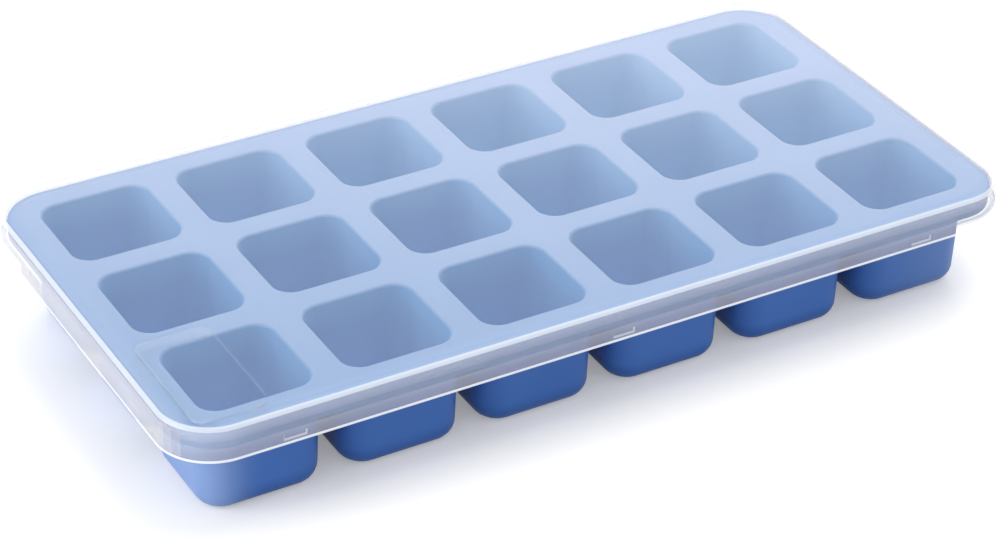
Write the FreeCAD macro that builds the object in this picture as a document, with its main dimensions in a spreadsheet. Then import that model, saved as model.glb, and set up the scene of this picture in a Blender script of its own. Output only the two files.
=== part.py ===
"""Silicone ice cube tray of eighteen cells with a clip-on lid that has a filling flap.

Millimetres. +X runs along the tray, +Y to its rear and +Z up. The origin is the centre of the
footprint, on the undersides of the cups.
"""
import FreeCAD, Part
import math
import os

import Sketcher

# Driving sizes, in millimetres, degrees and counts
SIZES = {
    "columns": 6,  # cells along X
    "rows": 3,  # cells along Y
    "opening_length": 28.9,  # a cell's mouth along X
    "opening_width": 28.3,  # a cell's mouth along Y
    "web_length": 8.1,  # deck between two cells' mouths, along X
    "web_width": 7.7,  # the same along Y
    "opening_round": 5.2,  # upright corners of a cell's mouth
    "cell_depth": 27.1,  # from the tray's top face to a cell's floor
    "draft_angle": 2.0,  # how far each upright wall leans, for the mould
    "cup_wall": 1.8,  # silicone round a cell, and under it
    "cup_round": 5.5,  # lower outer edge of a cup
    "corner_narrowing": 0.85,  # share by which a cup's corner round shrinks down to its floor
    "deck_thickness": 2.2,  # the flat web that joins the cups
    "border_length": 8.5,  # from the end cells' mouths to the rim's edge, along X
    "border_width": 7.6,  # from the outer rows' mouths to the rim's edge, along Y
    "rim_round": 12.4,  # corners of the rim, seen from above
    "lip_height": 4.8,  # the turned-down lip, from the tray's top face
    "lip_wall": 1.8,  # how thick the turned-down lip is
    "lid_fit": 0.6,  # gap between the lip and the lid's skirt
    "skirt_wall": 1.3,  # how thick the lid's skirt is
    "panel_thickness": 1.8,  # how thick the lid's flat top is
    "panel_gap": 0.6,  # air between the tray's top face and the lid's panel
    "seat_width": 2.4,  # how far the lid's shoulder reaches over the rim
    "skirt_drop": 4.6,  # skirt that runs all the way round, below the tray's top face
    "band_drop": 3.2,  # deeper band of the skirt, below the rest of it
    "relief_length": 19.4,  # finger relief in the band, from the lid's end
    "relief_width": 24.6,  # finger relief in the band, from the lid's side
    "lid_edge_round": 2.2,  # upper edge of the lid
    "lug_length": 6.1,  # a snap lug, along the skirt
    "lug_height": 2.0,
    "lug_reach": 0.45,  # how far a lug stands in from the skirt
    "lug_clearance": 0.2,  # between the lip's lower edge and a lug
    "lug_inset": 29.2,  # from the lid's end or side to the nearest lug's middle
    "long_side_lugs": 3,
    "short_side_lugs": 2,
    "flap_length": 19.0,  # filling flap along X
    "flap_width": 36.0,  # filling flap along Y
    "flap_round": 3.0,
    "flap_thickness": 0.9,
    "flap_clearance": 0.25,  # gap round the flap, apart from its hinge side
    "flap_end_inset": 5.7,  # from the lid's end to the flap
    "flap_side_inset": 4.15,  # from the lid's side to the flap
    "ledge_width": 1.5,  # what carries the flap round the filling opening
    "hinge_film": 0.3,  # how thick the film hinge is
    "hinge_groove": 0.8,  # how wide the film hinge is
}

# Sizes that follow from the sheet
PITCH_LENGTH = "(sizes.opening_length + sizes.web_length)"
PITCH_WIDTH = "(sizes.opening_width + sizes.web_width)"
RIM_LENGTH = f"(sizes.columns * {PITCH_LENGTH} - sizes.web_length + 2 * sizes.border_length)"
RIM_WIDTH = f"(sizes.rows * {PITCH_WIDTH} - sizes.web_width + 2 * sizes.border_width)"
TRAY_TOP = "(sizes.cell_depth + sizes.cup_wall)"
LID_GROWTH = "(sizes.lid_fit + sizes.skirt_wall)"
LID_LENGTH = f"({RIM_LENGTH} + 2 * {LID_GROWTH})"
LID_WIDTH = f"({RIM_WIDTH} + 2 * {LID_GROWTH})"
LID_TOP = f"({TRAY_TOP} + sizes.panel_gap + sizes.panel_thickness)"
FLAP_LEFT = f"(-{LID_LENGTH} / 2 + sizes.flap_end_inset)"
FLAP_RIGHT = f"({FLAP_LEFT} + sizes.flap_length)"
FLAP_FRONT = f"(-{LID_WIDTH} / 2 + sizes.flap_side_inset)"
FLAP_MIDDLE = f"({FLAP_FRONT} + sizes.flap_width / 2)"

# The eighteen cups have their rounds as equal flats, so that each repeated face stays plain
CORNER_FLATS = 5  # flats at each upright corner of a cup or cell
CUP_STEPS = 3  # flats that a cup's lower edge turns in
CELL_STEPS = 2  # the same for a cell's floor
START, END, CENTRE = 1, 2, 3  # a curve's points, as a sketch counts them
ORIGIN = (-1, 1)  # the sketch's own origin
ON_LEVEL = 1e-4  # how near an edge lies to a level to count as on it

document = FreeCAD.newDocument("ice_cube_tray")
sheet = document.addObject("Spreadsheet::Sheet", "sizes")
for row, (word, number) in enumerate(SIZES.items(), start=1):
    sheet.set(f"A{row}", word)
    sheet.set(f"B{row}", str(number))
    sheet.setAlias(f"B{row}", word)
document.recompute()


def value(expression):
    """The number that an expression on the sheet gives."""
    return float(sheet.evalExpression(expression))


def new_body(label):
    body = document.addObject("PartDesign::Body", label)
    body.Label = label
    body.Placement = FreeCAD.Placement()
    return body


def new_sketch(body, name, level, at_x="0", at_y="0"):
    """An empty level sketch at a height, with its own origin at a place."""
    sketch = body.newObject("Sketcher::SketchObject", name)
    plane = next(item for item in body.Origin.OriginFeatures if item.Role == "XY_Plane")
    sketch.AttachmentSupport = [(plane, "")]
    sketch.MapMode = "FlatFace"
    sketch.setExpression("AttachmentOffset.Base.x", at_x)
    sketch.setExpression("AttachmentOffset.Base.y", at_y)
    sketch.setExpression("AttachmentOffset.Base.z", level)
    return sketch


def bind(sketch, constraint, name, expression):
    """Adds a sized constraint and ties it to the sheet."""
    index = sketch.addConstraint(constraint)
    sketch.renameConstraint(index, name)
    sketch.setExpression(f"Constraints.{name}", expression)


def add_outline(sketch, name, length, width, corner):
    """A rounded rectangle about the sketch's origin: four arcs with a line after each."""
    half_length, half_width, radius = value(length) / 2, value(width) / 2, value(corner)
    arcs, lines = [], []
    for turn, (side_x, side_y) in enumerate(((1, 1), (-1, 1), (-1, -1), (1, -1))):
        middle = FreeCAD.Vector(side_x * (half_length - radius), side_y * (half_width - radius), 0)
        circle = Part.Circle(middle, FreeCAD.Vector(0, 0, 1), radius)
        arc = Part.ArcOfCircle(circle, turn * math.pi / 2, (turn + 1) * math.pi / 2)
        arcs.append(sketch.addGeometry(arc, False))
    for turn, arc in enumerate(arcs):
        here, there = sketch.Geometry[arc], sketch.Geometry[arcs[(turn + 1) % 4]]
        line = Part.LineSegment(here.EndPoint, there.StartPoint)
        lines.append(sketch.addGeometry(line, False))
    for turn, (arc, line) in enumerate(zip(arcs, lines)):
        sketch.addConstraint(Sketcher.Constraint("Tangent", arc, END, line, START))
        sketch.addConstraint(Sketcher.Constraint("Tangent", line, END, arcs[(turn + 1) % 4], START))
        level = "Vertical" if turn % 2 else "Horizontal"
        sketch.addConstraint(Sketcher.Constraint(level, line))
    for arc in arcs[1:]:
        sketch.addConstraint(Sketcher.Constraint("Equal", arcs[0], arc))
    middle = Sketcher.Constraint("Symmetric", arcs[0], CENTRE, arcs[2], CENTRE, *ORIGIN)
    sketch.addConstraint(middle)
    rear, left, front, right = lines
    across = Sketcher.Constraint("DistanceX", left, START, right, START, 2 * half_length)
    along = Sketcher.Constraint("DistanceY", front, START, rear, START, 2 * half_width)
    bind(sketch, across, f"{name}_length", length)
    bind(sketch, along, f"{name}_width", width)
    bind(sketch, Sketcher.Constraint("Radius", arcs[0], radius), f"{name}_corner", corner)


def add_rectangle(sketch, name, length, width):
    """A sharp rectangle about the sketch's origin."""
    half_length, half_width = value(length) / 2, value(width) / 2
    corners = [
        FreeCAD.Vector(side_x * half_length, side_y * half_width, 0)
        for side_x, side_y in ((1, 1), (-1, 1), (-1, -1), (1, -1))
    ]
    lines = [
        sketch.addGeometry(Part.LineSegment(corners[turn], corners[(turn + 1) % 4]), False)
        for turn in range(4)
    ]
    for turn, line in enumerate(lines):
        sketch.addConstraint(
            Sketcher.Constraint("Coincident", line, END, lines[(turn + 1) % 4], START)
        )
        level = "Vertical" if turn % 2 else "Horizontal"
        sketch.addConstraint(Sketcher.Constraint(level, line))
    rear, left, front, right = lines
    middle = Sketcher.Constraint("Symmetric", rear, START, front, START, *ORIGIN)
    sketch.addConstraint(middle)
    across = Sketcher.Constraint("DistanceX", left, START, right, START, 2 * half_length)
    along = Sketcher.Constraint("DistanceY", front, START, rear, START, 2 * half_width)
    bind(sketch, across, f"{name}_length", length)
    bind(sketch, along, f"{name}_width", width)


def extrude(body, kind, name, sketch, length, downwards=False):
    """A Pad or Pocket of a sketch, upwards or downwards, that has to add or take away material."""
    before = 0.0 if body.Shape.isNull() else body.Shape.Volume
    feature = body.newObject(f"PartDesign::{kind}", name)
    feature.Profile = sketch
    feature.setExpression("Length", length)
    # a pocket runs against its sketch's normal unless it is reversed
    feature.Reversed = downwards if kind == "Pad" else not downwards
    document.recompute()
    gained = feature.Shape.Volume - before
    if (gained > 0) != (kind == "Pad") or gained == 0:
        raise RuntimeError(f"{name} changes the volume by {gained:.3f} mm3, which no {kind} should")
    return feature


def repeat(body, name, feature, axis, reach, count, mirror):
    """Copies a feature along its sketch's axis, then across an origin plane of the body."""
    run = body.newObject("PartDesign::LinearPattern", f"{name}_run")
    run.Direction = (feature.Profile[0], [axis])
    run.setExpression("Length", reach)
    run.setExpression("Occurrences", count)
    across = body.newObject("PartDesign::Mirrored", f"{name}_mirror")
    plane = next(item for item in body.Origin.OriginFeatures if item.Role == mirror)
    across.MirrorPlane = (plane, [""])
    copies = body.newObject("PartDesign::MultiTransform", name)
    copies.Originals = [feature]
    copies.Transformations = [run, across]
    body.Tip = copies
    document.recompute()


def round_top_edges(body, name, feature, level, radius):
    """A Fillet of a feature's edges that lie flat at a level."""
    names = []
    for index, edge in enumerate(feature.Shape.Edges, start=1):
        heights = (edge.BoundBox.ZMin, edge.BoundBox.ZMax)
        if all(abs(height - value(level)) < ON_LEVEL for height in heights):
            names.append(f"Edge{index}")
    fillet = body.newObject("PartDesign::Fillet", name)
    fillet.Base = (feature, names)
    fillet.setExpression("Radius", radius)
    document.recompute()


def rounded_ring(half_length, half_width, radius, height):
    """Points round a rounded rectangle at a height, with equal chords at its corners."""
    ring = []
    for turn, (side_x, side_y) in enumerate(((1, 1), (-1, 1), (-1, -1), (1, -1))):
        for step in range(CORNER_FLATS + 1):
            angle = (turn + step / CORNER_FLATS) * math.pi / 2
            ring.append(
                FreeCAD.Vector(
                    side_x * (half_length - radius) + radius * math.cos(angle),
                    side_y * (half_width - radius) + radius * math.sin(angle),
                    height,
                )
            )
    return ring


def flat_face(points):
    return Part.Face(Part.makePolygon(points + points[:1]))


def drafted_well(floor, edge_round, steps, length, width, corner):
    """A solid that leans in from a cell's mouth, then turns in to its floor in equal steps."""
    top = value(TRAY_TOP)
    lean = math.tan(math.radians(value("sizes.draft_angle")))
    narrowing = value("sizes.corner_narrowing")
    rings = [rounded_ring(length / 2, width / 2, corner, top)]
    for step in range(steps + 1):
        angle = math.pi / 2 * step / steps
        height = floor + edge_round * (1 - math.sin(angle))
        drafted = lean * (top - height)
        turned = 1 - math.cos(angle)
        inset = drafted + edge_round * turned
        radius = (corner - drafted) * (1 - narrowing * turned)
        rings.append(rounded_ring(length / 2 - inset, width / 2 - inset, radius, height))
    faces = [flat_face(rings[0]), flat_face(rings[-1])]
    for upper, lower in zip(rings, rings[1:]):
        following = zip(upper, upper[1:] + upper[:1], lower[1:] + lower[:1], lower)
        faces += [flat_face(list(corners)) for corners in following]
    return Part.Solid(Part.Shell(faces))


def add_wells(name, floor, edge_round, steps, length, width, corner):
    """One well at each cell's place, as one feature of separate solids."""
    well = drafted_well(floor, edge_round, steps, length, width, corner)
    columns, rows = int(value("sizes.columns")), int(value("sizes.rows"))
    pitch_length, pitch_width = value(PITCH_LENGTH), value(PITCH_WIDTH)
    copies = []
    for column in range(columns):
        for row in range(rows):
            copy = well.copy()
            place_x = (column - (columns - 1) / 2) * pitch_length
            place_y = (row - (rows - 1) / 2) * pitch_width
            copy.translate(FreeCAD.Vector(place_x, place_y, 0))
            copies.append(copy)
    feature = document.addObject("Part::Feature", name)
    feature.Shape = Part.makeCompound(copies)
    return feature


def make_tray():
    """The silicone moulding: a deck with a turned-down lip, and a grid of drafted cups."""
    plate = new_body("tray_plate")
    deck_outline = new_sketch(plate, "deck_outline", TRAY_TOP)
    add_outline(deck_outline, "deck", RIM_LENGTH, RIM_WIDTH, "sizes.rim_round")
    extrude(plate, "Pad", "deck", deck_outline, "sizes.deck_thickness", downwards=True)

    lip_outline = new_sketch(plate, "lip_outline", TRAY_TOP)
    add_outline(lip_outline, "outer", RIM_LENGTH, RIM_WIDTH, "sizes.rim_round")
    add_outline(
        lip_outline,
        "inner",
        f"{RIM_LENGTH} - 2 * sizes.lip_wall",
        f"{RIM_WIDTH} - 2 * sizes.lip_wall",
        "sizes.rim_round - sizes.lip_wall",
    )
    extrude(plate, "Pad", "lip", lip_outline, "sizes.lip_height", downwards=True)

    mouth = [value(f"sizes.opening_{size}") for size in ("length", "width", "round")]
    wall, cup_round = value("sizes.cup_wall"), value("sizes.cup_round")
    outside = [mouth[0] + 2 * wall, mouth[1] + 2 * wall, mouth[2] + wall]
    cups = add_wells("cups", 0, cup_round, CUP_STEPS, *outside)
    cells = add_wells("cells", wall, cup_round - wall, CELL_STEPS, *mouth)

    solid = document.addObject("Part::Fuse", "tray_solid")
    solid.Base = plate
    solid.Tool = cups
    tray = document.addObject("Part::Cut", "ice_tray")
    tray.Base = solid
    tray.Tool = cells
    tray.Label = "ice_tray"
    tray.Placement = FreeCAD.Placement()
    document.recompute()
    return tray


def make_lid():
    """The clear lid: a flat panel, a shoulder that sits on the rim and a skirt with snap lugs."""
    lid = new_body("lid")
    skirt_foot = f"({TRAY_TOP} - sizes.skirt_drop)"
    hollow_length = f"({RIM_LENGTH} + 2 * sizes.lid_fit)"
    hollow_width = f"({RIM_WIDTH} + 2 * sizes.lid_fit)"
    hollow_round = "(sizes.rim_round + sizes.lid_fit)"
    lid_round = f"(sizes.rim_round + {LID_GROWTH})"

    shell_outline = new_sketch(lid, "shell_outline", skirt_foot)
    add_outline(shell_outline, "shell", LID_LENGTH, LID_WIDTH, lid_round)
    shell = extrude(lid, "Pad", "shell", shell_outline, f"{LID_TOP} - {skirt_foot}")
    round_top_edges(lid, "upper_edge", shell, LID_TOP, "sizes.lid_edge_round")

    band_outline = new_sketch(lid, "band_outline", skirt_foot)
    add_outline(band_outline, "band", LID_LENGTH, LID_WIDTH, lid_round)
    extrude(lid, "Pad", "band", band_outline, "sizes.band_drop", downwards=True)

    hollow_outline = new_sketch(lid, "hollow_outline", f"{skirt_foot} - sizes.band_drop")
    add_outline(hollow_outline, "hollow", hollow_length, hollow_width, hollow_round)
    extrude(lid, "Pocket", "hollow", hollow_outline, "sizes.skirt_drop + sizes.band_drop")

    air_outline = new_sketch(lid, "air_outline", TRAY_TOP)
    add_outline(
        air_outline,
        "air",
        f"{RIM_LENGTH} - 2 * sizes.seat_width",
        f"{RIM_WIDTH} - 2 * sizes.seat_width",
        "sizes.rim_round - sizes.seat_width",
    )
    extrude(lid, "Pocket", "air_gap", air_outline, "sizes.panel_gap")

    # Finger reliefs in the band, at the front right and rear left corners
    for name, side_x, side_y in (("front_right", "1", "-1"), ("rear_left", "-1", "1")):
        relief = new_sketch(
            lid,
            f"{name}_relief_outline",
            skirt_foot,
            f"{side_x} * {LID_LENGTH} / 2",
            f"{side_y} * {LID_WIDTH} / 2",
        )
        add_rectangle(relief, "relief", "2 * sizes.relief_length", "2 * sizes.relief_width")
        extrude(lid, "Pocket", f"{name}_relief", relief, "sizes.band_drop", downwards=True)

    make_lugs(lid, "long_side")
    make_lugs(lid, "short_side")
    make_flap_seat(lid)
    return lid


def make_lugs(lid, side):
    """Snap lugs inside the skirt's band, on two facing sides."""
    lug_top = f"({TRAY_TOP} - sizes.lip_height - sizes.lug_clearance)"
    long_side = side == "long_side"
    run, across = (LID_LENGTH, LID_WIDTH) if long_side else (LID_WIDTH, LID_LENGTH)
    axis, mirror = ("H_Axis", "XZ_Plane") if long_side else ("V_Axis", "YZ_Plane")
    along = f"(-{run} / 2 + sizes.lug_inset)"
    # a lug is rooted half way into the skirt's wall
    depth = "(sizes.skirt_wall / 2 + sizes.lug_reach)"
    place = f"(-{across} / 2 + sizes.skirt_wall / 2 + {depth} / 2)"
    at = (along, place) if long_side else (place, along)
    size = ("sizes.lug_length", depth) if long_side else (depth, "sizes.lug_length")
    outline = new_sketch(lid, f"{side}_lug_outline", lug_top, *at)
    add_rectangle(outline, "lug", *size)
    lug = extrude(lid, "Pad", f"{side}_lug", outline, "sizes.lug_height", downwards=True)
    reach = f"{run} - 2 * sizes.lug_inset"
    repeat(lid, f"{side}_lugs", lug, axis, reach, f"sizes.{side}_lugs", mirror)


def make_flap_seat(lid):
    """The filling opening, the ledge that carries the flap and the groove under its film hinge."""
    gap = "sizes.flap_clearance"
    middle_x = f"(({FLAP_LEFT} - {gap} + {FLAP_RIGHT}) / 2)"
    seat = new_sketch(lid, "flap_seat_outline", LID_TOP, middle_x, FLAP_MIDDLE)
    add_outline(
        seat,
        "seat",
        f"sizes.flap_length + {gap}",
        f"sizes.flap_width + 2 * {gap}",
        f"sizes.flap_round + {gap}",
    )
    extrude(lid, "Pocket", "flap_seat", seat, "sizes.flap_thickness", downwards=True)

    opening_middle = f"(({FLAP_LEFT} + {FLAP_RIGHT}) / 2)"
    opening = new_sketch(lid, "opening_outline", LID_TOP, opening_middle, FLAP_MIDDLE)
    add_outline(
        opening,
        "opening",
        "sizes.flap_length - 2 * sizes.ledge_width",
        "sizes.flap_width - 2 * sizes.ledge_width",
        "sizes.flap_round - sizes.ledge_width / 2",
    )
    through = "sizes.panel_thickness + sizes.panel_gap"
    extrude(lid, "Pocket", "filling_opening", opening, through, downwards=True)

    groove_reach = "(sizes.ledge_width + sizes.hinge_groove)"
    groove_middle = f"({FLAP_RIGHT} - sizes.ledge_width + {groove_reach} / 2)"
    panel_underside = f"{TRAY_TOP} + sizes.panel_gap"
    groove = new_sketch(
        lid, "hinge_groove_outline", panel_underside, groove_middle, FLAP_MIDDLE
    )
    add_rectangle(groove, "groove", groove_reach, "sizes.flap_width - 2 * sizes.flap_round")
    height = "sizes.panel_thickness - sizes.hinge_film"
    extrude(lid, "Pocket", "hinge_groove_cut", groove, height)


def make_flap():
    """The filling flap: a thin rounded plate that lies flush in its seat."""
    flap = new_body("filling_flap")
    outline = new_sketch(
        flap, "flap_outline", LID_TOP, f"(({FLAP_LEFT} + {FLAP_RIGHT}) / 2)", FLAP_MIDDLE
    )
    add_outline(outline, "flap", "sizes.flap_length", "sizes.flap_width", "sizes.flap_round")
    extrude(flap, "Pad", "plate", outline, "sizes.flap_thickness", downwards=True)
    return flap


pieces = [make_tray(), make_lid(), make_flap()]
document.recompute()

for item in document.Objects:
    if "Invalid" in item.State or "Error" in item.State:
        raise RuntimeError(f"{item.Name} failed: {item.State}")
for piece in pieces:
    if piece.Shape.isNull() or not piece.Shape.isValid() or len(piece.Shape.Solids) != 1:
        raise RuntimeError(f"{piece.Label} isn't one valid solid")

os.makedirs("parts", exist_ok=True)
for piece in pieces:
    piece.Shape.exportStep(os.path.join("parts", f"{piece.Label}.step"))
    print(piece.Label, round(piece.Shape.Volume / 1000, 2), "cm3", piece.Shape.BoundBox)
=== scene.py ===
"""Silicone ice cube tray with its clear clip-on lid, dressed for the photograph's view."""
import math

import bmesh
import bpy
from mathutils import Matrix, Vector


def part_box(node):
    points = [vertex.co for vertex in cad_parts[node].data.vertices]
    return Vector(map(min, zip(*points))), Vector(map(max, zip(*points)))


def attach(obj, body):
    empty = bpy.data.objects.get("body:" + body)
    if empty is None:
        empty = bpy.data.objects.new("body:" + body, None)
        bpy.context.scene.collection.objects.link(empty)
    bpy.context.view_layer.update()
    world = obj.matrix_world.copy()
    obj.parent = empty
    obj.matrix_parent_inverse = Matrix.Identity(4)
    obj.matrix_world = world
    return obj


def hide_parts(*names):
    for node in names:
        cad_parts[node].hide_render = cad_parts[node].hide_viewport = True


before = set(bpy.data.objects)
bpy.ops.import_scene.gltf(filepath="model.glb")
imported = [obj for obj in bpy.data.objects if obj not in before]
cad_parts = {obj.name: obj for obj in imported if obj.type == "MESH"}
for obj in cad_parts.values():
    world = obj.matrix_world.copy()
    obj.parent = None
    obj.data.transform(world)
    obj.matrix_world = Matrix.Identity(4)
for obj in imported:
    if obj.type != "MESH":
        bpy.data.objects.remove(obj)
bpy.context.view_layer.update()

MM = 0.001
X_AXIS, Y_AXIS = 0, 1

# Places that the frame gives
TRAY_LOW, TRAY_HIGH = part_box("ice_tray")
LID_LOW, LID_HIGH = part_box("lid")
FLAP_LOW, FLAP_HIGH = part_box("filling_flap")
TRAY_TOP = TRAY_HIGH.z

# The tray
COLUMNS, ROWS = 6, 3
PITCH_LENGTH = 37.0 * MM  # from one cell to the next, along X
PITCH_WIDTH = 36.0 * MM  # the same along Y
MOUTH_LENGTH = 28.9 * MM
MOUTH_WIDTH = 28.3 * MM
MOUTH_CORNER = 5.2 * MM  # upright corners of a cell
DECK_EDGE = 0.7 * MM  # round where the deck turns down, into a cell or over the rim
COLLAR = 1.6 * MM  # strip of the deck that is made with each cell
RIM_COLLAR = 2 * COLLAR  # strip of the deck that is made with the lip
SILICONE_WALL = 1.8 * MM
CELL_FLOOR_ROUND = 2.6 * MM
DRAFT = math.radians(1.2)
RIM_CORNER = 12.4 * MM
LIP_HEIGHT = 4.8 * MM

# The lid
LID_CORNER = 14.3 * MM
LID_SLOPE = 4.4 * MM  # width of its sloping border
LID_FALL = 1.2 * MM  # how far the border falls
LID_EDGE = 1.5 * MM  # round at the border's inner and outer edge
SKIRT_WALL = 1.3 * MM
SKIRT_DROP = 5.2 * MM  # skirt below the tray's top
BAND_DROP = 2.6 * MM  # deeper band below the skirt
SHOULDER = 3.0 * MM  # width of the shoulder that sits on the rim
SHOULDER_LIFT = 0.05 * MM  # its air above the deck, so that no two faces share a place
PANEL_GAP = 0.6 * MM  # air between the deck and the panel
RELIEF_LENGTH = 19.4 * MM  # finger relief in the band, from the lid's end
RELIEF_WIDTH = 24.6 * MM  # the same from the lid's side
LUG_LENGTH = 6.1 * MM
LUG_HEIGHT = 1.7 * MM
LUG_REACH = 0.45 * MM  # how far a lug stands in from the skirt
LUG_CHAMFER = 0.4 * MM
LUG_TOP = TRAY_TOP - 6.0 * MM
LUG_INSET = 29.2 * MM  # from the lid's end or side to the nearest lug's middle

# The filling flap and its seat
FLAP_CORNER = 3.0 * MM
FLAP_EDGE = 0.15 * MM
FLAP_GAP = 0.25 * MM
LEDGE = 1.5 * MM  # what carries the flap, round the filling opening
HINGE_GROOVE = 0.8 * MM
HINGE_FILM = 0.3 * MM
OVERCUT = 1.0 * MM  # how far a cutter stands out of what it cuts

# How many flats a round has
CELL_CORNER_STEPS = 10
CELL_FLOOR_STEPS = 8
DECK_EDGE_STEPS = 4
RIM_CORNER_STEPS = 16
LID_CORNER_STEPS = 18
LID_SLOPE_STEPS = 4
LID_EDGE_STEPS = 8
PLATE_CORNER_STEPS = 8
PLATE_EDGE_STEPS = 3

# How places and directions are told apart
SAME_POINT = 0.001 * MM
HAIR = 0.01 * MM
CLOSE = 0.02 * MM
SLACK = 0.1 * MM
SQUARELY = 0.9  # a face looks squarely along an axis where its normal has more than this along it
UPRIGHT = 0.3  # an upright face has less than this up or down
FLAP_FLAT = 0.7  # a face of the flap with more than this up or down isn't its edge
CLIMB = 2.0  # an upright edge climbs more than this many times its run
SHARP_TURN = math.radians(45)
SMOOTH_BELOW = math.radians(32)

# Where painted light and painted shade change the silicone's colour
PAINTED_GLOW_LEAN = 0.5  # the inside gets painted light, paler to the rear right, along Y and this share of X
PAINTED_GLOW_REACH = 85.0 * MM  # the deck does so over this reach on either side of the middle
CELL_PAINTED_GLOW_FROM = -30.0 * MM  # the cells do so only from here on
CELL_FLOOR_PAINTED_GLOW = (3.0 * MM, 20.0 * MM)  # a cell's painted light near its floor fades out between these heights
BORDER_PAINTED_LIGHT = 6.0 * MM  # width of the deck's painted light along its edge at the front and the left
CUP_PAINTED_SHADE = 6.0 * MM  # height over which a cup gets painted shade, darker towards its foot
CUP_LEFT_PAINTED_LIGHT = (-111.0 * MM, -92.0 * MM)  # the painted light on the left end's cups fades out between these
CUP_RIGHT_PAINTED_LIGHT = (78.0 * MM, 110.0 * MM)  # and the painted light on the right end's cups comes in between these

# The silicone's looks. Colours are linear, and a pair runs from the front left to the rear right,
# apart from the cups', which is spread over their bloom
CUP_BLUE = ((0.039, 0.132, 0.43), (0.048, 0.148, 0.47))
# painted shade: the cups' darker blue at the foot
CUP_FOOT_SHADED_BLUE = (0.018, 0.08, 0.29)
# painted light: the paler blues of the cups at the left and right ends
CUP_LEFT_LIT_BLUE = (0.24, 0.37, 0.7)
CUP_RIGHT_LIT_BLUE = (0.12, 0.22, 0.5)
# painted light: the deck and the cells paler than the cups, and paler still at the cells' floors
DECK_LIT_BLUE = ((0.165, 0.303, 0.548), (0.355, 0.455, 0.68))
CELL_LIT_BLUE = ((0.15, 0.385, 0.68), (0.49, 0.67, 0.88))
CELL_FLOOR_LIT_BLUE = ((0.23, 0.54, 0.86), (0.58, 0.77, 0.94))
# painted light: the deck's paler blue along its front and left edges
BORDER_LIT_BLUE = (0.25, 0.395, 0.645)
SILICONE_ROUGHNESS = (0.42, 0.5)
SILICONE_IOR = 1.43
SHEEN_ROUGHNESS = 0.5
INSIDE_SHEEN = 0.15
OUTSIDE_SHEEN = 0.0
OUTSIDE_SPECULAR = 0.3

# The plastic's looks: a pair of colours, or of roughnesses, is spread over its clouds
CLEAR = ((0.80, 0.85, 0.93), (0.86, 0.90, 0.97))
PALE_BLUE = ((0.56, 0.64, 0.75), (0.61, 0.69, 0.79))
DUSK_BLUE = ((0.47, 0.5, 0.635), (0.51, 0.54, 0.675))
# the colour of the painted light on the walls that look left
PAINTED_LIGHT_LILAC = ((0.7, 0.7, 0.74), (0.74, 0.74, 0.78))
WHITE = ((0.90, 0.94, 1.0), (0.94, 0.97, 1.0))
GLOSS = (0.12, 0.2)
CLEAN = (0.15, 0.25)
SATIN = (0.2, 0.3)
FROST = (0.25, 0.35)
MATT = (0.3, 0.4)
PLASTIC_IOR = 1.49
# The finishes of lid and flap, in the order of their slots: how solid each looks, its colours, its
# roughness. Several are painted light, as marked
FINISHES = {
    "frosted_panel": (0.075, CLEAR, FROST),
    # painted highlight along the lid's upper edge
    "edge_painted_highlight": (0.62, WHITE, GLOSS),
    # painted sheen: a lighter strip under the upper edge
    "skirt_painted_sheen": (0.27, CLEAR, SATIN),
    "frosted_skirt": (0.26, PALE_BLUE, FROST),
    "frosted_band": (0.3, DUSK_BLUE, FROST),
    "frosted_band_back": (0.57, DUSK_BLUE, FROST),
    # painted light: the walls that look left, whiter and more solid, fading round the corner
    "side_painted_light": (0.6, PAINTED_LIGHT_LILAC, FROST),
    "turn_painted_light": (0.5, PAINTED_LIGHT_LILAC, FROST),
    "late_turn_painted_light": (0.37, PAINTED_LIGHT_LILAC, FROST),
    # painted highlight along the lid's foot
    "foot_painted_glow": (0.9, WHITE, CLEAN),
    # painted highlight: the snap lugs' faces, opaque white
    "lug_painted_highlight": (1.0, WHITE, CLEAN),
    "seams": (0.16, WHITE, CLEAN),
    "inner_faces": (0.02, CLEAR, MATT),
}

# Where the lid's finish and its painted light change
SKIRT_FOOT = TRAY_TOP - SKIRT_DROP
LIP_FOOT = TRAY_TOP - LIP_HEIGHT
FOOT_LINE = 0.7 * MM  # height of the painted highlight, a bright line along the lid's foot
PAINTED_SHEEN_HEIGHT = 1.5 * MM  # height of the painted sheen, a lighter strip under the lid's upper edge
PAINTED_SHEEN_FROM = LID_HIGH.z - LID_FALL - LID_EDGE - PAINTED_SHEEN_HEIGHT
EDGE_FROM, EDGE_TO = 0.93, 0.42  # the edge's painted highlight runs from the first share of its normal up to the second
SEAT_MARGIN = 1.0 * MM  # lid round the flap that is sorted with the flap's seat
# Painted light on the walls that look left, towards the left lamp: each finish from a share of their normal
# to the left
LEFT_WALL_PAINTED_LIGHT = {"side_painted_light": 0.96, "turn_painted_light": 0.9, "late_turn_painted_light": 0.82}

# Clouds, as bumps to a metre, and grain, as bumps to a metre, depth and strength
CLOUD_DETAIL = 3.0
GRAIN_DETAIL = 2.0
NOISE_SPAN = (0.3, 0.7)  # the middle part of a noise, which a pair of values is spread over
SILICONE_CLOUDS = 45.0
SILICONE_GRAIN = (2600.0, 0.03 * MM, 0.1)
PLASTIC_CLOUDS = 60.0
PLASTIC_GRAIN = (1500.0, 0.02 * MM, 0.12)

# The photograph's view
CAMERA_TARGET = Vector((-0.0199, -0.0325, TRAY_TOP))
CAMERA_DISTANCE = 0.7457
CAMERA_AZIMUTH = math.radians(-30.15)
CAMERA_ELEVATION = math.radians(32.98)
CAMERA_ROLL = math.radians(1.05)
CAMERA_LENS = 110.476
CAMERA_END = 20.0
SENSOR_WIDTH = 36.0

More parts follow.
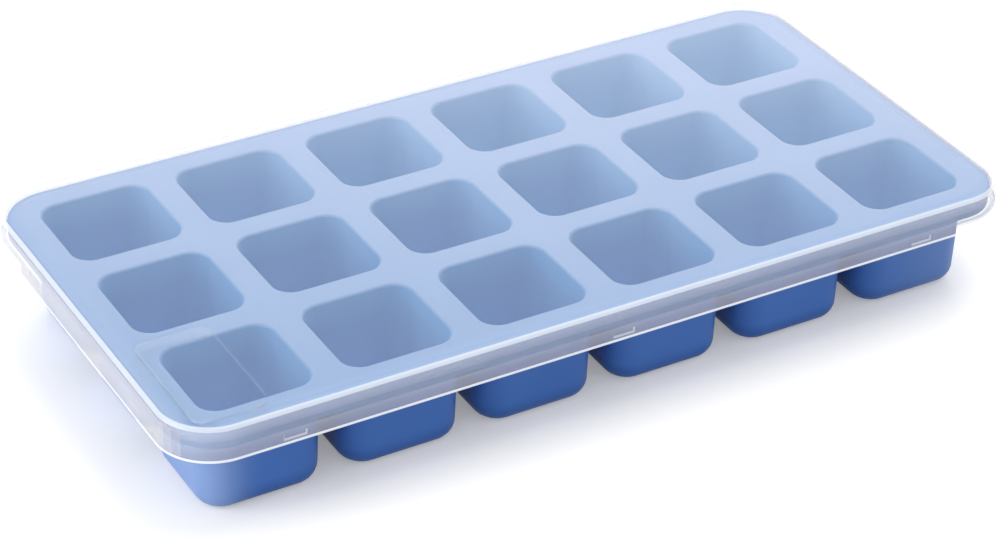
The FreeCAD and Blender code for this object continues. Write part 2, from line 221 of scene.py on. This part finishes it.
# Floor, backdrop and lights
FLOOR_HALF = 3.0
FLOOR_COLOUR = (0.92, 0.91, 0.89)
FLOOR_LIFT = 0.25  # light that the floor adds where it is seen directly
DIRECT_LEVEL = 1.0  # the world's light where it is seen directly
WORLD_LEVEL = 0.8  # the same for everything else
# Each lamp's place, power and side
SOFTBOXES = {
    "overhead_softbox": ((0.35, 0.0, 1.1), 3.0, 0.7),
    "rear_softbox": ((0.55, 0.95, 0.75), 4.0, 0.9),
    "left_card": ((-1.0, 0.1, 0.45), 4.0, 0.7),
}


def place_camera():
    data = bpy.data.cameras.new("camera")
    data.lens = CAMERA_LENS
    data.sensor_width = SENSOR_WIDTH
    data.clip_end = CAMERA_END
    camera = bpy.data.objects.new("camera", data)
    bpy.context.collection.objects.link(camera)
    turn = (
        Matrix.Rotation(CAMERA_AZIMUTH, 4, "Z")
        @ Matrix.Rotation(math.pi / 2 - CAMERA_ELEVATION, 4, "X")
        @ Matrix.Rotation(CAMERA_ROLL, 4, "Z")
    )
    back = turn.to_3x3() @ Vector((0, 0, 1))
    camera.matrix_world = Matrix.Translation(CAMERA_TARGET + back * CAMERA_DISTANCE) @ turn
    bpy.context.scene.camera = camera


# Nodes


def new_material(name):
    """A material with its node tree and its own shader."""
    material = bpy.data.materials.new(name)
    material.use_nodes = True
    tree = material.node_tree
    return material, tree, tree.nodes["Principled BSDF"]


def add_node(tree, kind, **inputs):
    """A node with its inputs set by name, an underscore for each space."""
    node = tree.nodes.new(kind)
    for name, value in inputs.items():
        node.inputs[name.replace("_", " ")].default_value = value
    return node


def object_noise(tree, scale, detail):
    """Noise on the piece's own coordinates, in bumps to a metre."""
    place = add_node(tree, "ShaderNodeTexCoord")
    noise = add_node(tree, "ShaderNodeTexNoise", Scale=scale, Detail=detail)
    tree.links.new(place.outputs["Object"], noise.inputs["Vector"])
    return noise.outputs["Fac"]


def clouds(tree, scale):
    """Soft broad noise."""
    return object_noise(tree, scale, CLOUD_DETAIL)


def spread(tree, noise, low, high):
    """A value spread between two others by a noise."""
    start, end = NOISE_SPAN
    node = add_node(tree, "ShaderNodeMapRange", From_Min=start, From_Max=end, To_Min=low, To_Max=high)
    tree.links.new(noise, node.inputs["Value"])
    return node.outputs["Result"]


def tint(tree, noise, low, high):
    """A colour spread between two others by a noise."""
    ramp = tree.nodes.new("ShaderNodeValToRGB")
    for element, position, colour in zip(ramp.color_ramp.elements, NOISE_SPAN, (low, high)):
        element.position = position
        element.color = (*colour, 1)
    tree.links.new(noise, ramp.inputs["Fac"])
    return ramp.outputs["Color"]


def add_grain(tree, shader, scale, depth, strength):
    """Fine bumps on a surface."""
    bump = add_node(tree, "ShaderNodeBump", Strength=strength, Distance=depth)
    tree.links.new(object_noise(tree, scale, GRAIN_DETAIL), bump.inputs["Height"])
    tree.links.new(bump.outputs["Normal"], shader.inputs["Normal"])


def object_axes(tree):
    """The place on the piece, as its three parts."""
    place = tree.nodes.new("ShaderNodeTexCoord")
    axes = tree.nodes.new("ShaderNodeSeparateXYZ")
    tree.links.new(place.outputs["Object"], axes.inputs["Vector"])
    return axes.outputs


def share_between(tree, source, start, end):
    """0 up to a start, 1 from an end on, and even in between."""
    node = add_node(tree, "ShaderNodeMapRange", From_Min=start, From_Max=end)
    tree.links.new(source, node.inputs["Value"])
    return node.outputs["Result"]


def blend(tree, share, one, other):
    """Two colours, or two colour outputs, mixed by a share."""
    mix = tree.nodes.new("ShaderNodeMix")
    mix.data_type = "RGBA"
    tree.links.new(share, mix.inputs["Factor"])
    for socket, colour in ((mix.inputs["A"], one), (mix.inputs["B"], other)):
        if isinstance(colour, tuple):
            socket.default_value = (*colour, 1)
        else:
            tree.links.new(colour, socket)
    return mix.outputs["Result"]


def seen_directly(tree):
    """1 for the camera's rays and for what shows in gloss or through glass, and 0 for other light."""
    path = tree.nodes.new("ShaderNodeLightPath")
    seen = path.outputs["Is Camera Ray"]
    for kind in ("Is Glossy Ray", "Is Transmission Ray"):
        larger = tree.nodes.new("ShaderNodeMath")
        larger.operation = "MAXIMUM"
        tree.links.new(seen, larger.inputs[0])
        tree.links.new(path.outputs[kind], larger.inputs[1])
        seen = larger.outputs["Value"]
    return seen


# Materials


def satin_silicone(name, sheen):
    """Satin silicone without its colour: a faint powdery bloom, and the fine grain of its mould."""
    material, tree, shader = new_material(name)
    bloom = clouds(tree, SILICONE_CLOUDS)
    tree.links.new(spread(tree, bloom, *SILICONE_ROUGHNESS), shader.inputs["Roughness"])
    add_grain(tree, shader, *SILICONE_GRAIN)
    shader.inputs["IOR"].default_value = SILICONE_IOR
    shader.inputs["Sheen Weight"].default_value = sheen
    shader.inputs["Sheen Roughness"].default_value = SHEEN_ROUGHNESS
    return material, tree, shader, bloom


def cup_material():
    """The cups' outsides: the silicone's full blue, with painted shade at the foot and painted light at the
    tray's ends.
    """
    material, tree, shader, bloom = satin_silicone("blue_silicone_outside_painted_shade_and_light", OUTSIDE_SHEEN)
    shader.inputs["Specular IOR Level"].default_value = OUTSIDE_SPECULAR
    axes = object_axes(tree)
    # painted shade: the cups get darker towards their foot
    above_foot = share_between(tree, axes["Z"], 0.0, CUP_PAINTED_SHADE)
    colour = blend(tree, above_foot, CUP_FOOT_SHADED_BLUE, tint(tree, bloom, *CUP_BLUE))
    # painted light: the cups at the tray's left and right ends are paler
    past_left = share_between(tree, axes["X"], *CUP_LEFT_PAINTED_LIGHT)
    past_left.node.interpolation_type = "SMOOTHERSTEP"
    colour = blend(tree, past_left, CUP_LEFT_LIT_BLUE, colour)
    past_right = share_between(tree, axes["X"], *CUP_RIGHT_PAINTED_LIGHT)
    colour = blend(tree, past_right, colour, CUP_RIGHT_LIT_BLUE)
    tree.links.new(colour, shader.inputs["Base Color"])
    return material


def deck_material():
    """Deck and cells: painted light makes them paler than the cups and paler to the rear right, for light
    through the thin silicone and its sheen.
    """
    material, tree, shader, _ = satin_silicone("blue_silicone_inside_painted_light", INSIDE_SHEEN)
    axes = object_axes(tree)
    lean = tree.nodes.new("ShaderNodeMath")
    lean.operation = "MULTIPLY_ADD"
    lean.inputs[1].default_value = PAINTED_GLOW_LEAN
    tree.links.new(axes["X"], lean.inputs[0])
    tree.links.new(axes["Y"], lean.inputs[2])
    rear_right = lean.outputs["Value"]
    # painted light: the deck paler to the rear right
    deck = blend(tree, share_between(tree, rear_right, -PAINTED_GLOW_REACH, PAINTED_GLOW_REACH), *DECK_LIT_BLUE)
    # painted light along the deck's front and left edges, against the shade under the lid's edge
    for axis, edge in (("X", TRAY_LOW.x), ("Y", TRAY_LOW.y)):
        near_edge = share_between(tree, axes[axis], edge + BORDER_PAINTED_LIGHT, edge)
        deck = blend(tree, near_edge, deck, BORDER_LIT_BLUE)
    # painted light: the cells paler to the rear right and near their floors
    cell_painted_glow = share_between(tree, rear_right, CELL_PAINTED_GLOW_FROM, PAINTED_GLOW_REACH)
    upper = blend(tree, cell_painted_glow, *CELL_LIT_BLUE)
    deep = blend(tree, cell_painted_glow, *CELL_FLOOR_LIT_BLUE)
    cell = blend(tree, share_between(tree, axes["Z"], *CELL_FLOOR_PAINTED_GLOW), deep, upper)
    on_top = share_between(tree, axes["Z"], TRAY_TOP - DECK_EDGE, TRAY_TOP)
    tree.links.new(blend(tree, on_top, cell, deck), shader.inputs["Base Color"])
    return material


def plastic_material(name, solidity, colours, roughness):
    """Milky see-through plastic, as solid to the eye as its thickness there makes it; where a slot is
    painted light, its higher solidity and whiter colour are painted light instead.
    """
    material, tree, shader = new_material(name)
    milk = clouds(tree, PLASTIC_CLOUDS)
    tree.links.new(tint(tree, milk, *colours), shader.inputs["Base Color"])
    tree.links.new(spread(tree, milk, *roughness), shader.inputs["Roughness"])
    add_grain(tree, shader, *PLASTIC_GRAIN)
    shader.inputs["Alpha"].default_value = solidity
    shader.inputs["IOR"].default_value = PLASTIC_IOR
    return material


# Mesh work, as by hand


def deselect_all():
    bpy.ops.object.select_all(action="DESELECT")


def pick(piece):
    """Makes a piece the active object, and the only one selected."""
    deselect_all()
    piece.select_set(True)
    bpy.context.view_layer.objects.active = piece


def edit(piece):
    pick(piece)
    bpy.ops.object.mode_set(mode="EDIT")


def object_mode():
    bpy.ops.object.mode_set(mode="OBJECT")


def add_block(name, low, high):
    """A cube primitive between two corners, as the active object in object mode."""
    deselect_all()
    middle = (Vector(low) + Vector(high)) / 2
    bpy.ops.mesh.primitive_cube_add(size=1, location=middle, scale=Vector(high) - Vector(low))
    bpy.ops.object.transform_apply(location=True, rotation=False, scale=True)
    piece = bpy.context.object
    piece.name = name
    piece.data.name = name
    return piece


def select(kind, test):
    """In edit mode, selects only the vertices, edges or faces that pass a test, and counts them."""
    bpy.ops.mesh.select_all(action="DESELECT")
    bpy.ops.mesh.select_mode(type={"verts": "VERT", "edges": "EDGE", "faces": "FACE"}[kind])
    mesh = bmesh.from_edit_mesh(bpy.context.object.data)
    count = 0
    for item in getattr(mesh, kind):
        if test(item):
            item.select_set(True)
            count += 1
    mesh.select_flush_mode()
    bmesh.update_edit_mesh(bpy.context.object.data)
    return count


def near(one, other):
    return abs(one - other) < CLOSE


def upright(edge):
    """True for an edge that climbs more than it runs."""
    run = edge.verts[0].co - edge.verts[1].co
    return abs(run.z) > CLIMB * math.hypot(run.x, run.y)


def level_edge(height):
    """A test for the edges at a height."""
    return lambda edge: all(near(vertex.co.z, height) for vertex in edge.verts)


def flat_face(height, facing):
    """A test for the level faces at a height that face up, 1, or down, -1."""
    return lambda face: near(face.calc_center_median().z, height) and face.normal.z * facing > SQUARELY


def open_at_top(edge):
    """True on an open loop at the height of the deck."""
    return level_edge(TRAY_TOP)(edge) and edge.is_boundary


def turns_down(edge):
    """True where the deck's level top turns down into a cell or over the rim."""
    if not level_edge(TRAY_TOP)(edge) or len(edge.link_faces) != 2:
        return False
    return edge.calc_face_angle(0) > SHARP_TURN


def bevel(width, steps):
    bpy.ops.mesh.bevel(offset=width, segments=steps, affect="EDGES", clamp_overlap=False)


def inset(width):
    bpy.ops.mesh.inset(thickness=width, use_boundary=True, use_even_offset=True)


def extrude(rise):
    """Extrudes the selected faces straight up, or down by a negative rise."""
    bpy.ops.mesh.extrude_region_move(TRANSFORM_OT_translate={"value": (0, 0, rise)})


def cut_across(place, normal):
    """Divides the faces of the mesh being edited along a plane."""
    bpy.ops.mesh.select_all(action="SELECT")
    bpy.ops.mesh.bisect(plane_co=place, plane_no=normal, threshold=SAME_POINT)


def merge_doubles():
    """Closes the mesh being edited, and turns its faces outwards."""
    bpy.ops.mesh.select_all(action="SELECT")
    bpy.ops.mesh.remove_doubles(threshold=SAME_POINT)
    bpy.ops.mesh.normals_make_consistent(inside=False)


def apply_modifier(piece, kind, **settings):
    pick(piece)
    modifier = piece.modifiers.new(kind.lower(), kind)
    for name, value in settings.items():
        setattr(modifier, name, value)
    bpy.ops.object.modifier_apply(modifier=modifier.name)


def boolean(piece, operation, tool):
    """Cuts a tool out of a piece or joins it on, and removes the tool."""
    apply_modifier(piece, "BOOLEAN", operation=operation, object=tool, solver="EXACT")
    bpy.data.objects.remove(tool)


def copied(piece, name, offset):
    """A copy with a mesh of its own, moved by an offset in its mesh."""
    copy = piece.copy()
    copy.data = piece.data.copy()
    copy.name = name
    bpy.context.collection.objects.link(copy)
    copy.data.transform(Matrix.Translation(offset))
    return copy


def joined(pieces, name):
    """Several pieces as one, in the first one's place."""
    pick(pieces[0])
    for piece in pieces:
        piece.select_set(True)
    bpy.ops.object.join()
    pieces[0].name = name
    pieces[0].data.name = name
    return pieces[0]


def smooth(piece):
    """Shades the rounds smooth and keeps flat faces flat."""
    pick(piece)
    bpy.ops.object.shade_smooth_by_angle(angle=SMOOTH_BELOW)
    apply_modifier(piece, "WEIGHTED_NORMAL", keep_sharp=True)


def dress(piece, materials):
    piece.data.materials.clear()
    for material in materials:
        piece.data.materials.append(material)


def rounded_plate(name, low, high, corner, edge=0.0):
    """A plate with rounded corners seen from above, and softened edges if asked for."""
    plate = add_block(name, low, high)
    edit(plate)
    select("edges", upright)
    bevel(corner, PLATE_CORNER_STEPS)
    if edge:
        select("edges", lambda item: not upright(item))
        bevel(edge, PLATE_EDGE_STEPS)
    object_mode()
    return plate


# The silicone tray


def add_collar(length, width, reach):
    """A flat collar of the deck round an open loop, with the edge between them rounded."""
    select("edges", open_at_top)
    bpy.ops.mesh.extrude_edges_move()
    factors = (1 + 2 * reach / length, 1 + 2 * reach / width, 1)
    bpy.ops.transform.resize(value=factors, center_override=(0, 0, TRAY_TOP))
    select("edges", turns_down)
    bevel(DECK_EDGE, DECK_EDGE_STEPS)


def one_well():
    """A cell's inside at the middle of the tray, open at its mouth."""
    low = (-MOUTH_LENGTH / 2, -MOUTH_WIDTH / 2, SILICONE_WALL)
    high = (MOUTH_LENGTH / 2, MOUTH_WIDTH / 2, TRAY_TOP)
    well = add_block("well", low, high)
    edit(well)
    select("faces", flat_face(SILICONE_WALL, -1))
    narrower = 2 * (TRAY_TOP - SILICONE_WALL) * math.tan(DRAFT)
    factors = (1 - narrower / MOUTH_LENGTH, 1 - narrower / MOUTH_WIDTH, 1)
    bpy.ops.transform.resize(value=factors, center_override=(0, 0, SILICONE_WALL))
    select("edges", upright)
    bevel(MOUTH_CORNER, CELL_CORNER_STEPS)
    select("edges", level_edge(SILICONE_WALL))
    bevel(CELL_FLOOR_ROUND, CELL_FLOOR_STEPS)
    select("faces", flat_face(TRAY_TOP, 1))
    bpy.ops.mesh.delete(type="FACE")
    add_collar(MOUTH_LENGTH, MOUTH_WIDTH, COLLAR)
    bpy.ops.mesh.select_all(action="SELECT")
    bpy.ops.mesh.normals_make_consistent(inside=False)
    object_mode()
    return well


def all_wells():
    """The insides of all cells, at their places."""
    well = one_well()
    wells = []
    for column in range(COLUMNS):
        for row in range(ROWS):
            place_x = (column - (COLUMNS - 1) / 2) * PITCH_LENGTH
            place_y = (row - (ROWS - 1) / 2) * PITCH_WIDTH
            wells.append(copied(well, "well_copy", (place_x, place_y, 0)))
    bpy.data.objects.remove(well)
    return wells


def turned_down_lip():
    """The lip's outside, with a strip of the deck along it."""
    lip = add_block("lip", (TRAY_LOW.x, TRAY_LOW.y, LIP_FOOT), TRAY_HIGH)
    edit(lip)
    select("edges", upright)
    bevel(RIM_CORNER, RIM_CORNER_STEPS)
    select("faces", lambda face: abs(face.normal.z) > SQUARELY)
    bpy.ops.mesh.delete(type="FACE")
    rim = TRAY_HIGH - TRAY_LOW
    add_collar(rim.x, rim.y, -RIM_COLLAR)
    object_mode()
    return lip


def on_lip(place, normal):
    """True on the outside of the turned-down lip."""
    at_side = abs(place.x) > TRAY_HIGH.x - DECK_EDGE or abs(place.y) > TRAY_HIGH.y - DECK_EDGE
    corner_from = math.hypot(TRAY_HIGH.x, TRAY_HIGH.y) - RIM_CORNER
    at_corner = math.hypot(place.x, place.y) > corner_from
    on_wall = place.z < TRAY_TOP - DECK_EDGE and abs(normal.z) < UPRIGHT
    return on_wall and (at_side or at_corner)


def make_tray(inside, outside):
    """Deck, cells and turned-down lip as one skin, thickened downwards and outwards."""
    wells = all_wells()
    tray = joined([turned_down_lip(), *wells], "silicone_tray")
    edit(tray)
    select("edges", open_at_top)
    bpy.ops.mesh.fill(use_beauty=True)
    merge_doubles()
    # the skin is open at the lip's foot, so the way its deck faces decides which side is the air
    if select("faces", flat_face(TRAY_TOP, -1)):
        bpy.ops.mesh.select_all(action="SELECT")
        bpy.ops.mesh.flip_normals()
    object_mode()
    dress(tray, [inside, outside])
    for face in tray.data.polygons:
        face.material_index = int(on_lip(face.center, face.normal))
    finish = {"material_offset": 1, "material_offset_rim": 1}
    shape = {"use_even_offset": True, "use_quality_normals": True}
    apply_modifier(tray, "SOLIDIFY", thickness=SILICONE_WALL, offset=-1, **shape, **finish)
    smooth(tray)
    return tray


# The clear lid


def in_relief(place):
    """True in the two corners where the skirt's deeper band is left out."""
    front_right = place.x > LID_HIGH.x - RELIEF_LENGTH and place.y < LID_LOW.y + RELIEF_WIDTH
    rear_left = place.x < LID_LOW.x + RELIEF_LENGTH and place.y > LID_HIGH.y - RELIEF_WIDTH
    return front_right or rear_left


def carries_band(face):
    """True on the skirt's foot where the deeper band goes on."""
    return flat_face(SKIRT_FOOT, -1)(face) and not in_relief(face.calc_center_median())


def on_outline(place):
    """True on the lid's outer wall, seen from above."""
    across = max(abs(place.x) - (LID_HIGH.x - LID_CORNER), 0)
    along = max(abs(place.y) - (LID_HIGH.y - LID_CORNER), 0)
    return math.hypot(across, along) > LID_CORNER - SLACK


def lid_shell():
    """Panel, sloping border, skirt, shoulder and deeper band, in one closed solid."""
    shell = add_block("clear_lid", (LID_LOW.x, LID_LOW.y, SKIRT_FOOT), LID_HIGH)
    edit(shell)
    select("edges", upright)
    bevel(LID_CORNER, LID_CORNER_STEPS)

    # the border falls to the lid's edge, and both its edges are rounded
    select("faces", flat_face(LID_HIGH.z, 1))
    inset(LID_SLOPE)
    select("verts", lambda vertex: near(vertex.co.z, LID_HIGH.z) and on_outline(vertex.co))
    bpy.ops.transform.translate(value=(0, 0, -LID_FALL))
    select("edges", level_edge(LID_HIGH.z))
    bevel(LID_EDGE, LID_SLOPE_STEPS)
    select("edges", level_edge(LID_HIGH.z - LID_FALL))
    bevel(LID_EDGE, LID_EDGE_STEPS)

    # cuts that let the band end at the finger reliefs
    for side in (1, -1):
        cut_across((side * (LID_HIGH.x - RELIEF_LENGTH), 0, 0), (1, 0, 0))
        cut_across((0, side * (LID_LOW.y + RELIEF_WIDTH), 0), (0, 1, 0))

    # the hollow, up to the shoulder and then to the panel
    select("faces", flat_face(SKIRT_FOOT, -1))
    inset(SKIRT_WALL)
    extrude(TRAY_TOP + SHOULDER_LIFT - SKIRT_FOOT)
    inset(SHOULDER)
    extrude(PANEL_GAP - SHOULDER_LIFT)

    select("faces", carries_band)
    extrude(-BAND_DROP)
    merge_doubles()
    object_mode()
    return shell


def add_lug(axis, side, along):
    """One snap lug inside a wall that an axis crosses, chamfered round its inward front."""
    front = side * (LID_HIGH[axis] - (SKIRT_WALL + LUG_REACH))
    root = side * (LID_HIGH[axis] - SKIRT_WALL / 2)
    low = [along - LUG_LENGTH / 2, along - LUG_LENGTH / 2, LUG_TOP - LUG_HEIGHT]
    high = [along + LUG_LENGTH / 2, along + LUG_LENGTH / 2, LUG_TOP]
    low[axis], high[axis] = sorted((root, front))
    lug = add_block("lug", low, high)
    edit(lug)
    select("edges", lambda edge: all(near(vertex.co[axis], front) for vertex in edge.verts))
    bevel(LUG_CHAMFER, 1)
    object_mode()
    return lug


def all_lugs():
    """The snap lugs, three to a long side and two to a short one."""
    long_run = LID_HIGH.x - LUG_INSET
    short_run = LID_HIGH.y - LUG_INSET
    lugs = []
    for side in (-1, 1):
        lugs += [add_lug(Y_AXIS, side, along) for along in (-long_run, 0.0, long_run)]
        lugs += [add_lug(X_AXIS, side, along) for along in (-short_run, short_run)]
    return joined(lugs, "lugs")


def flap_seat():
    """What is cut out of the lid's top, so that the flap lies flush."""
    low = (FLAP_LOW.x - FLAP_GAP, FLAP_LOW.y - FLAP_GAP, FLAP_LOW.z)
    high = (FLAP_HIGH.x, FLAP_HIGH.y + FLAP_GAP, LID_HIGH.z + OVERCUT)
    return rounded_plate("seat", low, high, FLAP_CORNER + FLAP_GAP)


def filling_opening():
    """What is cut out under the flap, inside its ledge."""
    low = (FLAP_LOW.x + LEDGE, FLAP_LOW.y + LEDGE, TRAY_TOP)
    high = (FLAP_HIGH.x - LEDGE, FLAP_HIGH.y - LEDGE, LID_HIGH.z + OVERCUT)
    return rounded_plate("way", low, high, FLAP_CORNER - LEDGE / 2)


def hinge_groove():
    """What is cut out under the film hinge."""
    low = (FLAP_HIGH.x - LEDGE, FLAP_LOW.y + FLAP_CORNER, TRAY_TOP)
    high = (FLAP_HIGH.x + HINGE_GROOVE, FLAP_HIGH.y - FLAP_CORNER, LID_HIGH.z - HINGE_FILM)
    return add_block("groove", low, high)


def is_lug(place):
    """True on a snap lug's own faces, inside the skirt."""
    if not LUG_TOP - LUG_HEIGHT - HAIR < place.z < LUG_TOP + HAIR:
        return False
    inner_x = LID_HIGH.x - SKIRT_WALL
    inner_y = LID_HIGH.y - SKIRT_WALL
    on_long_side = inner_y - 2 * LUG_REACH < abs(place.y) < inner_y - SLACK
    on_short_side = inner_x - 2 * LUG_REACH < abs(place.x) < inner_x - SLACK
    straight = abs(place.x) < LID_HIGH.x - LID_CORNER or abs(place.y) < LID_HIGH.y - LID_CORNER
    return straight and (on_long_side or on_short_side)


def is_lug_front(place, normal):
    """True on the front that a snap lug turns inwards."""
    on_long_side = abs(place.y) > LID_HIGH.y - SKIRT_WALL - 2 * LUG_REACH
    if on_long_side:
        return normal.y * math.copysign(1, place.y) < -SQUARELY
    return normal.x * math.copysign(1, place.x) < -SQUARELY


def in_flap_seat(place):
    """True at the flap and just round it, seen from above."""
    along = FLAP_LOW.x - SEAT_MARGIN < place.x < FLAP_HIGH.x + SEAT_MARGIN
    across = FLAP_LOW.y - SEAT_MARGIN < place.y < FLAP_HIGH.y + SEAT_MARGIN
    return along and across and place.z > TRAY_TOP + HAIR


def seat_finish(place, normal):
    """The finish of a face in the flap's seat: only its wall at the hinge shows as a line."""
    if near(place.x, FLAP_HIGH.x) and normal.x < -SQUARELY:
        return "seams"
    on_panel = normal.z > SQUARELY and place.z > LID_HIGH.z - SLACK
    return "frosted_panel" if on_panel else "inner_faces"


def lid_finish(place, normal):
    """The finish of a face of the lid, with painted highlights on its upper edge, foot and lugs, and painted
    light on its walls that look left.
    """
    over_tray = place.z > TRAY_TOP
    # painted highlight on the upper edge, with a painted sheen strip below it
    if over_tray and UPRIGHT < normal.z < EDGE_FROM:
        return "edge_painted_highlight" if normal.z > EDGE_TO else "skirt_painted_sheen"
    if in_flap_seat(place):
        return seat_finish(place, normal)
    outside = on_outline(place) and abs(normal.z) < UPRIGHT
    if place.z > TRAY_TOP - HAIR and normal.z < UPRIGHT and not outside:
        return "frosted_panel" if abs(normal.z) > SQUARELY else "inner_faces"
    if over_tray and normal.z > UPRIGHT:
        return "frosted_panel"
    # painted highlight on the lugs' faces; their inward fronts take the band's back finish
    if is_lug(place):
        return "frosted_band_back" if is_lug_front(place, normal) else "lug_painted_highlight"
    foot = SKIRT_FOOT if in_relief(place) else LID_LOW.z
    # painted highlight along the lid's foot
    if on_outline(place) and place.z < foot + FOOT_LINE:
        return "foot_painted_glow"
    # painted light on the walls that look left
    for finish, leftwards in LEFT_WALL_PAINTED_LIGHT.items():
        if normal.x < -leftwards:
            return finish
    # painted sheen: the lighter strip at the top of the skirt
    if place.z > PAINTED_SHEEN_FROM:
        return "skirt_painted_sheen"
    if place.z > LIP_FOOT:
        return "frosted_skirt"
    return "frosted_band" if on_outline(place) else "frosted_band_back"


def make_lid(materials):
    """The lid's shell with the flap's seat, the hinge's groove and the snap lugs, and its finishes, painted
    light among them.
    """
    lid = lid_shell()
    boolean(lid, "DIFFERENCE", flap_seat())
    boolean(lid, "DIFFERENCE", filling_opening())
    boolean(lid, "DIFFERENCE", hinge_groove())
    boolean(lid, "UNION", all_lugs())
    edit(lid)
    for height in (LID_LOW.z + FOOT_LINE, SKIRT_FOOT, SKIRT_FOOT + FOOT_LINE, LIP_FOOT, PAINTED_SHEEN_FROM):
        cut_across((0, 0, height), (0, 0, 1))
    object_mode()
    dress(lid, materials.values())
    order = list(materials)
    for face in lid.data.polygons:
        face.material_index = order.index(lid_finish(face.center, face.normal))
    smooth(lid)
    return lid


def make_flap(top, edge):
    """The filling flap, with softened edges."""
    flap = rounded_plate("clear_flap", FLAP_LOW, FLAP_HIGH, FLAP_CORNER, FLAP_EDGE)
    dress(flap, [top, edge])
    for face in flap.data.polygons:
        face.material_index = int(abs(face.normal.z) <= FLAP_FLAT)
    smooth(flap)
    return flap


# The studio


def floor_material():
    """A white floor that keeps the object's shadow."""
    material, tree, shader = new_material("floor_white")
    shader.inputs["Base Color"].default_value = (*FLOOR_COLOUR, 1)
    shader.inputs["Roughness"].default_value = 1.0
    shader.inputs["Specular IOR Level"].default_value = 0.0
    shader.inputs["Emission Color"].default_value = (1, 1, 1, 1)
    lift = tree.nodes.new("ShaderNodeMath")
    lift.operation = "MULTIPLY"
    lift.inputs[1].default_value = FLOOR_LIFT
    tree.links.new(seen_directly(tree), lift.inputs[0])
    tree.links.new(lift.outputs["Value"], shader.inputs["Emission Strength"])
    return material


def make_floor():
    deselect_all()
    bpy.ops.mesh.primitive_plane_add(size=2 * FLOOR_HALF, location=(0, 0, 0))
    floor = bpy.context.object
    floor.name = "floor"
    floor.data.materials.append(floor_material())


def light_world():
    """White where it is seen directly, and a plain level of light for everything else."""
    world = bpy.data.worlds.new("studio")
    bpy.context.scene.world = world
    world.use_nodes = True
    tree = world.node_tree
    background = tree.nodes["Background"]
    background.inputs["Color"].default_value = (1, 1, 1, 1)
    level = add_node(tree, "ShaderNodeMapRange", To_Min=WORLD_LEVEL, To_Max=DIRECT_LEVEL)
    tree.links.new(seen_directly(tree), level.inputs["Value"])
    tree.links.new(level.outputs["Result"], background.inputs["Strength"])


def add_softbox(name, place, power, side):
    """A square lamp that faces the object."""
    data = bpy.data.lights.new(name, "AREA")
    data.energy = power
    data.size = side
    lamp = bpy.data.objects.new(name, data)
    bpy.context.collection.objects.link(lamp)
    aim = (Vector((0, 0, TRAY_TOP)) - Vector(place)).to_track_quat("-Z", "Y")
    lamp.matrix_world = Matrix.Translation(place) @ aim.to_matrix().to_4x4()


def light_studio():
    light_world()
    for name, lamp in SOFTBOXES.items():
        add_softbox(name, *lamp)


place_camera()
plastics = {name: plastic_material(name, *look) for name, look in FINISHES.items()}

tray = make_tray(deck_material(), cup_material())
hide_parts("ice_tray")
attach(tray, "tray")

lid = make_lid(plastics)
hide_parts("lid")
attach(lid, "lid")

flap = make_flap(plastics["frosted_panel"], plastics["seams"])
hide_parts("filling_flap")
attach(flap, "flap")

make_floor()
light_studio()
bpy.context.scene.view_settings.view_transform = "Standard"
